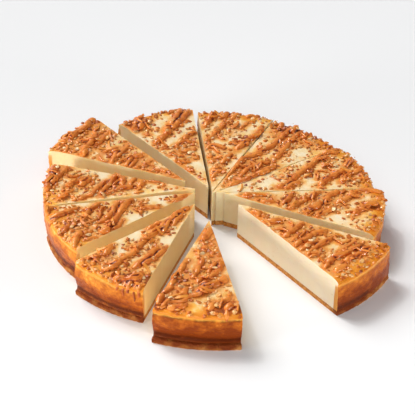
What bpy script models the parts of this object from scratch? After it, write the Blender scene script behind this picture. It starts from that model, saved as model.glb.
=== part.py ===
"""A round baked cheesecake on a thin biscuit base, sliced into twelve with one portion taken.

The cake is turned and topped whole, in the frame of the knife: the cuts meet at the origin and
the cake's middle lies a little to one side. Each portion is then cut out and moved to its place.
Metres, +Z up, standing on z = 0.
"""

import math
import random

import bmesh
import bpy
from mathutils import Matrix, Vector, noise

MM = 0.001

# Driving sizes
CAKE_RADIUS = 140 * MM
CAKE_HEIGHT = 35 * MM
BASE_HEIGHT = 4.6 * MM
LAYER_GAP = 0.3 * MM
KNIFE_OFFSET = 4 * MM

# How the cake is sliced
PORTIONS = 12
PORTION_ANGLE = math.radians(360 / PORTIONS)
FIRST_ANGLE = math.radians(82.4)

# Where the cuts would meet if no portion had been pulled, from the middle of the footprint
RING_CENTRE = Vector((-5.1 * MM, 15.9 * MM, 0))

# Portion number: how far it is pulled out along its own middle line and slipped sideways, in
# millimetres, how far it is turned about its tip, and how its sauce strokes run, in degrees.
# Number 8 has been taken.
PLACES = {
    1: (5.7, -2.9, -0.8, 54),
    2: (11.0, -4.6, 0.0, 54),
    3: (28.5, -3.1, 2.4, 58),
    4: (12.5, -6.2, 7.4, 63),
    5: (10.0, -6.3, 5.8, 64),
    6: (19.9, 1.0, 5.6, 62),
    7: (41.3, 7.1, 3.8, 40),
    9: (30.1, 4.3, -0.8, 44),
    10: (13.6, 4.1, -1.7, 54),
    11: (6.9, -0.2, -1.4, 55),
    12: (2.7, -1.9, -1.2, 55),
}

# How far the base stays inside the rim, in millimetres: on a few portions it pokes out
BASE_INSET = 2.0
BASE_INSETS = {6: 0.6, 7: -1.2, 9: -0.6}

# Degrees that the knife ran wide on the last side of a portion
WIDE_CUTS = {2: 1.8, 7: 1.0}

# The filling's outer profile from the top down: inset from the rim and drop from the top
RIM_PROFILE = (
    (14.0, 0.0),
    (7.0, 0.2),
    (3.0, 1.2),
    (0.8, 3.0),
    (0.3, 4.6),
    (1.3, 5.8),
    (0.5, 8.0),
    (0.4, 15.0),
    (1.6, 22.5),
    (3.4, 26.6),
    (3.2, 29.6),
)

# The base's outer profile from the top down: inset from its rim and height
BASE_PROFILE = ((1.2, 4.6), (0.0, 3.6), (0.4, 0.0))

TURN_STEPS = 60
TOP_WAVE = 0.5 * MM
WALL_WAVE = 0.7 * MM
WAVE_SCALE = 55
WALL_STARTS = 0.9

# Crushed toffee and nut pieces, set into the top
CRUMBS = 17
CRUMB_SIZES = (5.0 * MM, 9.5 * MM)
CRUMB_SINK = 0.18
CRUMB_ROUGHNESS = 0.16
CRUMB_SPACING = 0.42
RIM_SHARE = 0.6
RIM_ZONE = 0.62

# Caramel sauce in slanting strokes across the whole cake
STROKE_SPACING = 20 * MM
STROKE_WIDTH = 4.6 * MM
STROKE_RISE = 0.62
STROKE_LIFT = 0.9 * MM
STROKE_STEP = 2 * MM
STROKE_BEAD = 19 * MM
STROKE_BEND = 5 * MM
STROKE_SHORTEST = 15 * MM

# How far toppings keep from the cut faces and from the rim
CUT_MARGIN = 0.6 * MM
RIM_MARGIN = 3.5 * MM

COLOURS = {
    "filling": ((0.86, 0.66, 0.36, 1), 0.5),
    "biscuit": ((0.52, 0.24, 0.07, 1), 0.85),
}


def clear_scene():
    for obj in list(bpy.data.objects):
        bpy.data.objects.remove(obj, do_unlink=True)


def material(name):
    colour, roughness = COLOURS[name]
    made = bpy.data.materials.new(name)
    made.use_nodes = True
    shader = made.node_tree.nodes["Principled BSDF"]
    shader.inputs["Base Color"].default_value = colour
    shader.inputs["Roughness"].default_value = roughness
    return made


def collection(name, hidden=False):
    made = bpy.data.collections.new(name)
    made.hide_render = hidden
    bpy.context.scene.collection.children.link(made)
    return made


def link_mesh(bm, name, group):
    mesh = bpy.data.meshes.new(name)
    bmesh.ops.recalc_face_normals(bm, faces=bm.faces)
    bm.to_mesh(mesh)
    bm.free()
    obj = bpy.data.objects.new(name, mesh)
    group.objects.link(obj)
    return obj


def evaluated_copy(obj, name, group):
    """A mesh object with obj's modifiers or curve shape made real; obj itself is removed."""
    bpy.context.view_layer.update()
    graph = bpy.context.evaluated_depsgraph_get()
    mesh = bpy.data.meshes.new_from_object(obj.evaluated_get(graph))
    made = bpy.data.objects.new(name, mesh)
    made.matrix_world = obj.matrix_world.copy()
    group.objects.link(made)
    bpy.data.objects.remove(obj, do_unlink=True)
    return made


def close_caps(obj):
    """Welds the seams and closes any open ring of edges with one flat face."""
    bm = bmesh.new()
    bm.from_mesh(obj.data)
    bmesh.ops.remove_doubles(bm, verts=bm.verts, dist=0.01 * MM)
    bmesh.ops.holes_fill(bm, edges=[edge for edge in bm.edges if edge.is_boundary])
    bmesh.ops.recalc_face_normals(bm, faces=bm.faces)
    bm.to_mesh(obj.data)
    bm.free()


def turned(name, profile, group):
    """A solid of revolution about the cake's middle from (radius, height) points, top down."""
    bm = bmesh.new()
    points = [bm.verts.new((radius, 0, height)) for radius, height in profile]
    for upper, lower in zip(points, points[1:]):
        bm.edges.new((upper, lower))
    mesh = bpy.data.meshes.new(name)
    bm.to_mesh(mesh)
    bm.free()
    obj = bpy.data.objects.new(name, mesh)
    obj.location.x = KNIFE_OFFSET
    group.objects.link(obj)
    screw = obj.modifiers.new("turn", "SCREW")
    screw.steps = screw.render_steps = TURN_STEPS
    screw.use_merge_vertices = True
    screw.merge_threshold = 0.01 * MM
    made = evaluated_copy(obj, name, group)
    close_caps(made)
    return made


def filling_blank(group):
    rim = [(CAKE_RADIUS - inset * MM, CAKE_HEIGHT - drop * MM) for inset, drop in RIM_PROFILE]
    floor = BASE_HEIGHT + LAYER_GAP
    return turned("filling_blank", [*rim, (rim[-1][0], floor)], group)


def base_blank(number, group):
    radius = CAKE_RADIUS - BASE_INSETS.get(number, BASE_INSET) * MM
    profile = [(radius - inset * MM, height * MM) for inset, height in BASE_PROFILE]
    return turned(f"base_blank_{number:02d}", profile, group)


def rough_wall(obj, lowest):
    """Gives a turned blank the uneven wall and top of baked food; its flat underside stays."""
    for vertex in obj.data.vertices:
        x, y, z = vertex.co
        radius = math.hypot(x, y)
        wave = noise.noise(Vector((x, y, z)) * WAVE_SCALE)
        if radius > WALL_STARTS * CAKE_RADIUS:
            reach = 1 + WALL_WAVE * wave / radius
            vertex.co.x *= reach
            vertex.co.y *= reach
        if CAKE_HEIGHT - 5 * MM < z < CAKE_HEIGHT - 0.1 * MM:
            vertex.co.z += TOP_WAVE * wave
    bottom = min(vertex.co.z for vertex in obj.data.vertices)
    assert abs(bottom - lowest) < 0.001 * MM


def portion_angle(number):
    return FIRST_ANGLE + (number - 1) * PORTION_ANGLE


def portion_cutter(number, group):
    """A tall three-sided prism that takes in one portion of the whole cake."""
    reach = 1.5 * CAKE_RADIUS
    first = portion_angle(number) - PORTION_ANGLE / 2
    last = first + PORTION_ANGLE + math.radians(WIDE_CUTS.get(number, 0))
    corners = [(0, 0)] + [
        (reach * math.cos(side), reach * math.sin(side)) for side in (first, last)
    ]
    curve = bpy.data.curves.new("cutter", "CURVE")
    curve.dimensions = "2D"
    curve.fill_mode = "BOTH"
    curve.extrude = 2 * CAKE_HEIGHT
    spline = curve.splines.new("POLY")
    spline.points.add(len(corners) - 1)
    for point, (x, y) in zip(spline.points, corners):
        point.co = (x, y, 0, 1)
    spline.use_cyclic_u = True
    obj = bpy.data.objects.new("cutter", curve)
    group.objects.link(obj)
    made = evaluated_copy(obj, f"cutter_{number:02d}", group)
    close_caps(made)
    return made


def cut_out(blank, cutter, name, group):
    obj = bpy.data.objects.new(name, blank.data.copy())
    obj.matrix_world = blank.matrix_world.copy()
    group.objects.link(obj)
    cut = obj.modifiers.new("cut", "BOOLEAN")
    cut.operation = "INTERSECT"
    cut.object = cutter
    made = evaluated_copy(obj, name + "_cut", group)
    made.name = name
    return made


def rim_distance(angle):
    """From the meeting point of the cuts to the cake's rim, in direction angle."""
    along = KNIFE_OFFSET * math.cos(angle)
    across = KNIFE_OFFSET * math.sin(angle)
    return along + math.sqrt(CAKE_RADIUS**2 - across**2)


def room_at(x, y, number):
    """How far a point is inside the portion's top: the least of its distances to the edges."""
    middle = portion_angle(number)
    radius = math.hypot(x, y)
    turn = math.atan2(y, x) - middle
    turn = (turn + math.pi) % (2 * math.pi) - math.pi
    to_cuts = radius * math.sin(PORTION_ANGLE / 2 - abs(turn)) - CUT_MARGIN
    to_rim = rim_distance(turn + middle) - radius - RIM_MARGIN
    return min(to_cuts, to_rim)


def crumb(name, place, size, rng, group):
    """One angular chip: a jittered icosahedron, flattened and partly sunk into the top."""
    bm = bmesh.new()
    bmesh.ops.create_icosphere(bm, subdivisions=1, radius=size / 2)
    for vertex in bm.verts:
        vertex.co *= 1 + rng.uniform(-CRUMB_ROUGHNESS, CRUMB_ROUGHNESS)
    flat = Matrix.Diagonal((1.0, rng.uniform(0.65, 0.95), rng.uniform(0.55, 0.8), 1))
    turn = Matrix.Rotation(rng.uniform(0, math.tau), 4, "Z")
    tilt = Matrix.Rotation(rng.uniform(-0.5, 0.5), 4, "X")
    bmesh.ops.transform(bm, matrix=turn @ tilt @ flat, verts=bm.verts)
    lift = CAKE_HEIGHT + size * CRUMB_SINK
    bmesh.ops.translate(bm, vec=(place[0], place[1], lift), verts=bm.verts)
    return link_mesh(bm, name, group)


def add_crumbs(number, rng, group):
    """Chips over the portion, largest first and thickest towards the rim, clear of each other."""
    middle = portion_angle(number)
    placed = []
    sizes = sorted((rng.uniform(*CRUMB_SIZES) for _ in range(CRUMBS)), reverse=True)
    for size in sizes:
        for _ in range(60):
            share = math.sqrt(rng.uniform(0.02, 1))
            if rng.random() < RIM_SHARE:
                share = rng.uniform(RIM_ZONE, 1)
            turn = middle + rng.uniform(-0.5, 0.5) * PORTION_ANGLE
            radius = share * rim_distance(turn)
            x, y = radius * math.cos(turn), radius * math.sin(turn)
            near = [math.hypot(x - a, y - b) - (size + s) * CRUMB_SPACING for a, b, s in placed]
            if room_at(x, y, number) > size / 2 and min(near, default=1) > 0:
                placed.append((x, y, size))
                break
    for index, (x, y, size) in enumerate(placed):
        crumb(f"crumb_{index}", (x, y), size, rng, group)


def stroke_point(line, along, angle):
    """A point of sauce line number line, at distance along it, with the pour's slow wander."""
    wander = noise.noise(Vector((along * 22, line * 3.7, 0.5)))
    across = line * STROKE_SPACING + STROKE_BEND * wander
    return Vector((
        along * math.cos(angle) - across * math.sin(angle),
        along * math.sin(angle) + across * math.cos(angle),
        0,
    ))


def stroke_runs(number):
    """The stretches of every sauce line that lie on this portion, as lists of points."""
    lines = math.ceil(CAKE_RADIUS / STROKE_SPACING)
    steps = math.ceil(CAKE_RADIUS / STROKE_STEP)
    angle = math.radians(PLACES[number][3])
    runs = []
    for line in range(-lines, lines + 1):
        run = []
        for step in range(-steps, steps + 2):
            point = stroke_point(line, step * STROKE_STEP, angle)
            if room_at(point.x, point.y, number) > STROKE_WIDTH / 2 and step <= steps:
                run.append(point)
                continue
            if run and (run[-1] - run[0]).length > STROKE_SHORTEST:
                runs.append(thinned(run))
            run = []
    return runs


def thinned(run):
    """The run's ends, with evenly spread points between them about one STROKE_BEAD apart."""
    beads = max(1, round((run[-1] - run[0]).length / STROKE_BEAD))
    return [run[round(bead * (len(run) - 1) / beads)] for bead in range(beads + 1)]


def sauce_stroke(points, name, rng, group):
    """A flattened cord of sauce with its underside in the filling."""
    curve = bpy.data.curves.new(name, "CURVE")
    curve.dimensions = "3D"
    curve.bevel_depth = STROKE_WIDTH / 2
    curve.bevel_resolution = 1
    curve.use_fill_caps = True
    spline = curve.splines.new("POLY")
    spline.points.add(len(points) - 1)
    for spot, point in zip(spline.points, points):
        spot.co = (*point, 1)
        spot.radius = rng.uniform(0.8, 1.1)
    obj = bpy.data.objects.new(name, curve)
    obj.scale.z = STROKE_RISE
    obj.location.z = CAKE_HEIGHT + STROKE_LIFT
    group.objects.link(obj)
    made = evaluated_copy(obj, name + "_mesh", group)
    close_caps(made)


def keep_main_shell(obj):
    """Drops loose scraps and fills sealed hollows: only the largest closed skin stays."""
    bm = bmesh.new()
    bm.from_mesh(obj.data)
    bmesh.ops.remove_doubles(bm, verts=bm.verts, dist=0.02 * MM)
    unseen = set(bm.faces)
    shells = []
    while unseen:
        shell, front = set(), [next(iter(unseen))]
        while front:
            face = front.pop()
            if face in shell:
                continue
            shell.add(face)
            front.extend(near for edge in face.edges for near in edge.link_faces)
        unseen -= shell
        shells.append(shell)
    shells.sort(key=len)
    for scrap in shells[:-1]:
        bmesh.ops.delete(bm, geom=list(scrap), context="FACES")
    bm.to_mesh(obj.data)
    bm.free()


def add_toppings(body, number):
    """Joins the portion's chips and sauce strokes to the filling they lie on."""
    rng = random.Random(number)
    group = collection(f"toppings_{number:02d}", hidden=True)
    add_crumbs(number, rng, group)
    for index, points in enumerate(stroke_runs(number)):
        sauce_stroke(points, f"stroke_{index}", rng, group)
    union = body.modifiers.new("toppings", "BOOLEAN")
    union.operation = "UNION"
    union.operand_type = "COLLECTION"
    union.collection = group
    union.solver = "MANIFOLD"
    name = body.name
    topped = evaluated_copy(body, name + "_topped", body.users_collection[0])
    topped.name = name
    keep_main_shell(topped)
    for obj in list(group.objects):
        bpy.data.objects.remove(obj, do_unlink=True)
    bpy.data.collections.remove(group)
    return topped


def portion_anchor(number, group):
    """The empty that carries a portion, at the portion's tip."""
    pull, slip, twist, _ = PLACES[number]
    middle = portion_angle(number)
    ahead = Vector((math.cos(middle), math.sin(middle), 0))
    sideways = Vector((-math.sin(middle), math.cos(middle), 0))
    anchor = bpy.data.objects.new(f"portion_{number:02d}", None)
    anchor.location = RING_CENTRE + ahead * pull * MM + sideways * slip * MM
    anchor.rotation_euler.z = math.radians(twist)
    group.objects.link(anchor)
    return anchor


def finish(obj, anchor, finish_material):
    """Puts a cut piece, still in the frame of the knife, on its portion's anchor."""
    obj.data.transform(obj.matrix_world)
    obj.matrix_world = Matrix.Identity(4)
    obj.parent = anchor
    obj.data.materials.clear()
    obj.data.materials.append(finish_material)
    for face in obj.data.polygons:
        face.material_index = 0


def main():
    clear_scene()
    cake = collection("cheesecake")
    cutters = collection("cutters", hidden=True)
    custard, biscuit = material("filling"), material("biscuit")
    whole_filling = filling_blank(cutters)
    rough_wall(whole_filling, BASE_HEIGHT + LAYER_GAP)
    for number in PLACES:
        whole_base = base_blank(number, cutters)
        rough_wall(whole_base, 0)
        cutter = portion_cutter(number, cutters)
        cutter.display_type = "WIRE"
        cutter.hide_render = True
        anchor = portion_anchor(number, cake)
        base = cut_out(whole_base, cutter, f"base_{number:02d}", cake)
        filling = cut_out(whole_filling, cutter, f"filling_{number:02d}", cake)
        filling = add_toppings(filling, number)
        finish(base, anchor, biscuit)
        finish(filling, anchor, custard)
    for obj in list(cutters.objects):
        bpy.data.objects.remove(obj, do_unlink=True)


main()
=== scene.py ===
"""The looks of a baked cheesecake in twelve portions, one taken, with caramel and crushed toffee.

Every portion is shaped in the frame of the knife, where the cuts meet at the origin and the
cake's middle lies a little to one side, and is then moved to where it lies on the table.
Metres, +Z up.
"""

import math
import random

import bmesh
import bpy
import numpy as np
from mathutils import Matrix, Vector, noise


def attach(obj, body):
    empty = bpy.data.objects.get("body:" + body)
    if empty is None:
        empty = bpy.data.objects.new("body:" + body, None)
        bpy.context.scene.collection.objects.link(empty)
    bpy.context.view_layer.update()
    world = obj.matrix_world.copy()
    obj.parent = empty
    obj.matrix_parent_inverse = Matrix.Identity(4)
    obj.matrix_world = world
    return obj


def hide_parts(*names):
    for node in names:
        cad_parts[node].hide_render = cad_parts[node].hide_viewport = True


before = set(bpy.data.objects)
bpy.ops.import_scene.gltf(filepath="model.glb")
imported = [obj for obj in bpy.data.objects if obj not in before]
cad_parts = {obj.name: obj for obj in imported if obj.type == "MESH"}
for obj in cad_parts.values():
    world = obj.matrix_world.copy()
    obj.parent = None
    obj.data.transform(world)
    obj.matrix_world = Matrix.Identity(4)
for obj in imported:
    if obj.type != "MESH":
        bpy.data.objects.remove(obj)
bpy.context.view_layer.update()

MM = 0.001
BODY = "root"

# The cake, as in the solids
CAKE_RADIUS = 140 * MM
CAKE_HEIGHT = 35 * MM
BASE_HEIGHT = 4.6 * MM
LAYER_GAP = 0.1 * MM
KNIFE_OFFSET = 4 * MM
PORTIONS = 12
PORTION_ANGLE = math.radians(360 / PORTIONS)
FIRST_ANGLE = math.radians(82.4)
RING_CENTRE = Vector((-5.1 * MM, 15.9 * MM, 0))

# Portion number: millimetres pulled out and slipped sideways, and degrees turned about the tip
PLACES = {
    1: (5.7, -2.9, -0.8),
    2: (11.0, -4.6, 0.0),
    3: (28.5, -3.1, 2.4),
    4: (12.5, -6.2, 7.4),
    5: (10.0, -6.3, 5.8),
    6: (19.9, 1.0, 5.6),
    7: (41.3, 7.1, 3.8),
    9: (30.1, 4.3, -0.8),
    10: (13.6, 4.1, -1.7),
    11: (6.9, -0.2, -1.4),
    12: (2.7, -1.9, -1.2),
}

# How much wider than its twelfth a portion is cut
WIDE_CUTS = {2: math.radians(1.8), 7: math.radians(1.0)}

# How far the base stays inside the rim, in millimetres: on a few portions it pokes out
BASE_INSET = 2.0
BASE_INSETS = {6: 0.6, 7: -1.2, 9: -0.6}

# The camera, fitted to the corners of the portions
CAMERA_TARGET = Vector((-5.4 * MM, 46.7 * MM, 0))
CAMERA_DISTANCE = 1.809
CAMERA_PITCH = math.radians(33.5)
CAMERA_ROLL = math.radians(1.69)
CAMERA_LENS = 172.0
SENSOR_WIDTH = 36.0

# An angle too small to matter
HAIR = 1e-4

# Fineness of the portions' meshes
RADIAL_STEPS = 104
HEIGHT_STEPS = 26
SPIN_STEPS = 36
BASE_RADIAL_STEPS = 72
BASE_HEIGHT_STEPS = 4

# The filling's wall: share of its height and inset from the rim, from the foot up
WALL_PROFILE = (
    (0.00, 3.2), (0.05, 3.6), (0.12, 3.5), (0.24, 2.2), (0.40, 1.2), (0.62, 0.3),
    (0.80, 0.5), (0.90, 1.3), (0.955, 1.0), (1.0, 0.3),
)
SHOULDER_WIDTH = 13 * MM
SHOULDER_DROP = 4.2 * MM

# How golden the cream of a portion's two cuts is, as painted shade: cut faces turned from the light get a
# warm golden tint; clockwise one, anticlockwise one
CUT_SHADE_WARMTHS = {4: (0.7, 0.9), 5: (0.9, 0.9), 6: (0.9, 0.9), 7: (0.4, 0.9), 9: (0.0, 0.6), 3: (0.6, 0.8)}
CUT_SHADE_WARMTH = 0.6

# How much darker than the rest a portion's wall is: painted shade, darker on walls turned from the light and
# lighter on those turned to it
WALL_PAINTED_SHADES = {4: -0.08, 5: -0.06, 6: -0.06, 7: 0.14, 9: 0.08}

# How dark the groove above the base and the rim of the base are, partly burnt and partly painted shade
# in the recess and on the ledge under the wall: at the clockwise cut and at the anticlockwise cut
GROOVE_BURNS_AND_SHADES = {6: (0.5, 0.1), 7: (0.7, 0.7), 3: (-0.2, -0.2), 9: (1.0, -0.7)}
BASE_BURNS_AND_SHADES = {6: (0.8, 0.5), 7: (0.75, 0.65), 9: (1.1, 0.1)}
BASE_BURN_AND_SHADE = 0.45

# How far the lower wall keeps its inset, and how dark the crease below the rim is: browned, with painted
# shade
WALL_TUCKS = {9: 0.0, 6: 0.8}
CREASE_BURNS_AND_SHADES = {7: 1.7, 6: 0.7, 10: 0.8}
CREASE_BURN_AND_SHADE = 0.35

# How brown the top gets at the rim, and the wall from its upper edge down
RIM_BROWNING = 0.4
WALL_BROWNING = 0.33
UPPER_BROWNING = 0.32
LOWER_BROWNING = 0.30

# Middle height and reach of the groove and of the crease, both burnt and darkened with painted shade
GROOVE = 7.6 * MM, 3.0 * MM
CREASE_BAND = 29.3 * MM, 1.5 * MM


def smooth_step(low, high, value):
    share = min(1.0, max(0.0, (value - low) / (high - low)))
    return share * share * (3 - 2 * share)


def profile_at(points, share):
    """The inset in millimetres at a share of the height, read smoothly between the points."""
    for (low, first), (high, last) in zip(points, points[1:]):
        if share <= high:
            return first + (last - first) * smooth_step(low, high, share)
    return points[-1][1]


def between_cuts(number, ends, angle):
    """A value that runs from the first of two ends, at the clockwise cut, to the second."""
    share = (angle - portion_angle(number)) / PORTION_ANGLE + 0.5
    return ends[0] + (ends[1] - ends[0]) * smooth_step(0.1, 0.9, share)


def band(z, height, reach):
    """1 at a height on the wall, fading to 0 above and below it."""
    return math.exp(-(((z - height) / reach) ** 2))


def rough(x, y, z, scale=1):
    """Smooth noise between -1 and 1."""
    return noise.noise(Vector((x, y, z)) * scale)


def spot_at(angle, radius):
    """The x and y of a place in the frame of the knife."""
    return radius * math.cos(angle), radius * math.sin(angle)


def direction(x, y, least):
    """The direction of (x, y), as an angle that is no smaller than least."""
    angle = math.atan2(y, x)
    while angle < least:
        angle += math.tau
    return angle


def portion_angle(number):
    return FIRST_ANGLE + (number - 1) * PORTION_ANGLE


def portion_span(number):
    """The directions of the portion's two cuts, in the frame of the knife."""
    first = portion_angle(number) - PORTION_ANGLE / 2
    return first, first + PORTION_ANGLE + WIDE_CUTS.get(number, 0)


def rim_distance(angle):
    """From the meeting point of the cuts to the cake's rim, in direction angle."""
    along = KNIFE_OFFSET * math.cos(angle)
    across = KNIFE_OFFSET * math.sin(angle)
    return along + math.sqrt(CAKE_RADIUS**2 - across**2)


def placing(number):
    """The move from the frame of the knife to the portion's place on the table."""
    pull, slip, twist = PLACES[number]
    middle = portion_angle(number)
    ahead = Vector((math.cos(middle), math.sin(middle), 0))
    sideways = Vector((-math.sin(middle), math.cos(middle), 0))
    tip = RING_CENTRE + ahead * pull * MM + sideways * slip * MM
    return Matrix.Translation(tip) @ Matrix.Rotation(math.radians(twist), 4, "Z")


def new_object(name, mesh, *materials):
    obj = bpy.data.objects.new(name, mesh)
    bpy.context.scene.collection.objects.link(obj)
    for item in materials:
        mesh.materials.append(item)
    return obj


def mesh_from(bm, name):
    mesh = bpy.data.meshes.new(name)
    bm.to_mesh(mesh)
    bm.free()
    return mesh


def store(mesh, name, values):
    """A number for each vertex, for the materials to read."""
    layer = mesh.attributes.new(name, "FLOAT", "POINT")
    layer.data.foreach_set("value", np.asarray(values, dtype=np.float32))


def moved(points, matrix):
    """Rows of points, moved by a matrix."""
    matrix = np.array(matrix)
    return points @ matrix[:3, :3].T + matrix[:3, 3]


def vertex_rows(mesh, name="co"):
    """The places of a mesh's vertices, or their normals, a row for each."""
    values = np.empty(len(mesh.vertices) * 3)
    mesh.vertices.foreach_get(name, values)
    return values.reshape(-1, 3)


# Materials


class Nodes:
    """A short way of adding shader nodes to a material or a world."""

    def __init__(self, tree):
        self.tree = tree

    def add(self, kind, inputs, **settings):
        node = self.tree.nodes.new(kind)
        for key, value in settings.items():
            setattr(node, key, value)
        self.fill(node, inputs)
        return node

    def fill(self, node, inputs):
        """Links the inputs that are given as sockets and sets the others."""
        for key, value in inputs.items():
            if isinstance(value, bpy.types.NodeSocket):
                self.tree.links.new(value, node.inputs[key])
            else:
                node.inputs[key].default_value = value

    def math(self, operation, first, second):
        return self.add("ShaderNodeMath", {0: first, 1: second}, operation=operation).outputs[0]

    def plus(self, first, second):
        return self.math("ADD", first, second)

    def minus(self, first, second):
        return self.math("SUBTRACT", first, second)

    def times(self, first, second):
        return self.math("MULTIPLY", first, second)

    def attribute(self, name):
        return self.add("ShaderNodeAttribute", {}, attribute_name=name).outputs["Fac"]

    def place(self):
        return self.add("ShaderNodeTexCoord", {}).outputs["Object"]

    def squeezed(self, vector, upward):
        """A place with its height scaled, for marks that are drawn out or flattened."""
        return self.add("ShaderNodeMapping", {"Vector": vector, "Scale": (1, 1, upward)}).outputs[0]

    def noise(self, vector, scale, detail=4.0, roughness=0.55, distortion=0.0):
        inputs = {
            "Vector": vector,
            "Scale": scale,
            "Detail": detail,
            "Roughness": roughness,
            "Distortion": distortion,
        }
        return self.add("ShaderNodeTexNoise", inputs).outputs["Fac"]

    def ramp(self, factor, *stops):
        """A colour ramp from (position, colour) stops."""
        node = self.add("ShaderNodeValToRGB", {"Fac": factor})
        elements = node.color_ramp.elements
        while len(elements) < len(stops):
            elements.new(0.5)
        for element, (position, colour) in zip(elements, stops):
            element.position = position
            element.color = (*colour, 1)
        return node.outputs["Color"]

    def between(self, value, low, high):
        """0 below low, 1 above high and smooth between them."""
        inputs = {"Value": value, "From Min": low, "From Max": high}
        return self.add("ShaderNodeMapRange", inputs, interpolation_type="SMOOTHSTEP").outputs["Result"]

    def mix(self, factor, first, second):
        """From the first colour to the second, as the factor runs from 0 to 1."""
        colours = [(*item, 1) if isinstance(item, tuple) else item for item in (first, second)]
        inputs = {"Factor": factor, "A": colours[0], "B": colours[1]}
        return self.add("ShaderNodeMix", inputs, data_type="RGBA").outputs["Result"]

    def bump(self, shader, height, strength, distance):
        inputs = {"Height": height, "Strength": strength, "Distance": distance}
        self.fill(shader, {"Normal": self.add("ShaderNodeBump", inputs).outputs["Normal"]})


def new_material(name):
    """A material, its node helper and its shader."""
    made = bpy.data.materials.new(name)
    made.use_nodes = True
    return made, Nodes(made.node_tree), made.node_tree.nodes["Principled BSDF"]


CREAM = (0.95, 0.76, 0.45)
CREAM_PALE = (0.96, 0.86, 0.63)
CREAM_GOLD = (0.94, 0.62, 0.20)
GOLDEN = (0.96, 0.50, 0.085)
AMBER = (0.72, 0.235, 0.020)
ORANGE_BROWN = (0.47, 0.105, 0.008)
RED_BROWN = (0.25, 0.040, 0.003)
DEEP_BROWN = (0.085, 0.013, 0.003)
HONEY = (0.96, 0.47, 0.062)
HONEY_DARK = (0.80, 0.25, 0.016)
GLAZE = (0.50, 0.105, 0.009)
GLAZE_DARK = (0.22, 0.030, 0.004)
CRUMB_DARK = (0.40, 0.11, 0.014)
CRUMB = (0.66, 0.26, 0.055)
CRUMB_PALE = (0.82, 0.44, 0.14)
WARM_SHEEN = (1.0, 0.80, 0.60, 1)


def baked_skin_material():
    """The top and wall: pale cream that turns golden at the rim and brown down the wall."""
    made, nodes, shader = new_material("baked_skin")
    bake = nodes.attribute("bake")
    stain = nodes.attribute("stain")
    flattened = nodes.squeezed(nodes.place(), 1.3)
    blotches = nodes.noise(flattened, 84, 5, 0.62)
    mottle = nodes.noise(flattened, 260, 5, 0.65)
    flecks = nodes.minus(mottle, 0.5)
    cream = nodes.ramp(blotches, (0.3, CREAM_PALE), (0.52, CREAM), (0.72, CREAM_GOLD))
    uneven = nodes.plus(nodes.times(nodes.minus(blotches, 0.5), 1.15), nodes.times(flecks, 0.6))
    level = nodes.plus(bake, uneven)
    level.node.use_clamp = True
    browns = (0.10, CREAM), (0.28, GOLDEN), (0.48, AMBER), (0.74, ORANGE_BROWN), (1.0, RED_BROWN)
    baked = nodes.mix(nodes.between(bake, 0.02, 0.22), cream, nodes.ramp(level, *browns))
    # Deep brown for burning and for painted shade in the groove, the crease and on the base's lip
    burn_and_shade = nodes.times(nodes.attribute("scorch_and_shade"), nodes.between(mottle, 0.2, 0.5))
    burnt_and_shaded = nodes.mix(nodes.times(burn_and_shade, 0.94), baked, DEEP_BROWN)
    ragged = nodes.plus(stain, nodes.times(flecks, 0.9))
    film = nodes.between(ragged, 0.15, 0.85)
    honey = nodes.mix(nodes.between(stain, 0.45, 0.95), HONEY, HONEY_DARK)
    filmed = nodes.mix(nodes.times(film, 0.88), burnt_and_shaded, honey)
    glaze = nodes.mix(nodes.between(blotches, 0.38, 0.6), GLAZE, GLAZE_DARK)
    pool = nodes.times(nodes.between(ragged, 1.05, 1.6), 0.9)
    gloss = nodes.plus(nodes.times(level, 0.14), nodes.times(film, 0.16))
    nodes.fill(shader, {
        "Base Color": nodes.mix(pool, filmed, glaze),
        "Roughness": nodes.minus(0.50, gloss),
        "Coat Weight": nodes.times(film, 0.35),
        "Coat Roughness": 0.14,
        "Specular IOR Level": 0.2,
        "Specular Tint": WARM_SHEEN,
    })
    nodes.bump(shader, nodes.plus(mottle, nodes.noise(nodes.place(), 900, 3)), 0.55, 0.0009)
    return made


def cut_cream_material():
    """The cut faces: smooth dense cream with faint knife streaks, pits and a browned edge, with painted shade
    as a golden tint on the faces turned from the light.
    """
    made, nodes, shader = new_material("cut_cream")
    place = nodes.place()
    streaks = nodes.noise(nodes.squeezed(place, 0.07), 130, 4, 0.6)
    clouds = nodes.noise(place, 45, 4, 0.55)
    blend = nodes.plus(nodes.times(streaks, 0.45), nodes.times(clouds, 0.55))
    pale = nodes.ramp(blend, (0.34, (0.93, 0.79, 0.58)), (0.66, (0.91, 0.74, 0.51)))
    shade_golden = nodes.ramp(blend, (0.34, (0.93, 0.71, 0.37)), (0.66, (0.89, 0.61, 0.26)))
    # Painted shade: the golden copy of the cream goes on the cut faces turned from the light
    cream = nodes.mix(nodes.attribute("shade_warmth"), pale, shade_golden)
    pits = nodes.between(nodes.noise(place, 420, 2, 0.5), 0.66, 0.74)
    pitted = nodes.mix(nodes.times(pits, 0.35), cream, (0.66, 0.40, 0.14))
    edge = nodes.between(nodes.attribute("bake"), 0.35, 0.75)
    nodes.fill(shader, {
        "Base Color": nodes.mix(edge, pitted, (0.66, 0.27, 0.04)),
        "Roughness": 0.5,
        "Specular IOR Level": 0.25,
        "Subsurface Weight": 0.35,
        "Subsurface Radius": (1.0, 0.6, 0.3),
        "Subsurface Scale": 0.006,
    })
    relief = nodes.plus(nodes.noise(place, 700, 4, 0.6), nodes.times(streaks, 2.0))
    nodes.bump(shader, relief, 0.25, 0.0005)
    return made


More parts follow.
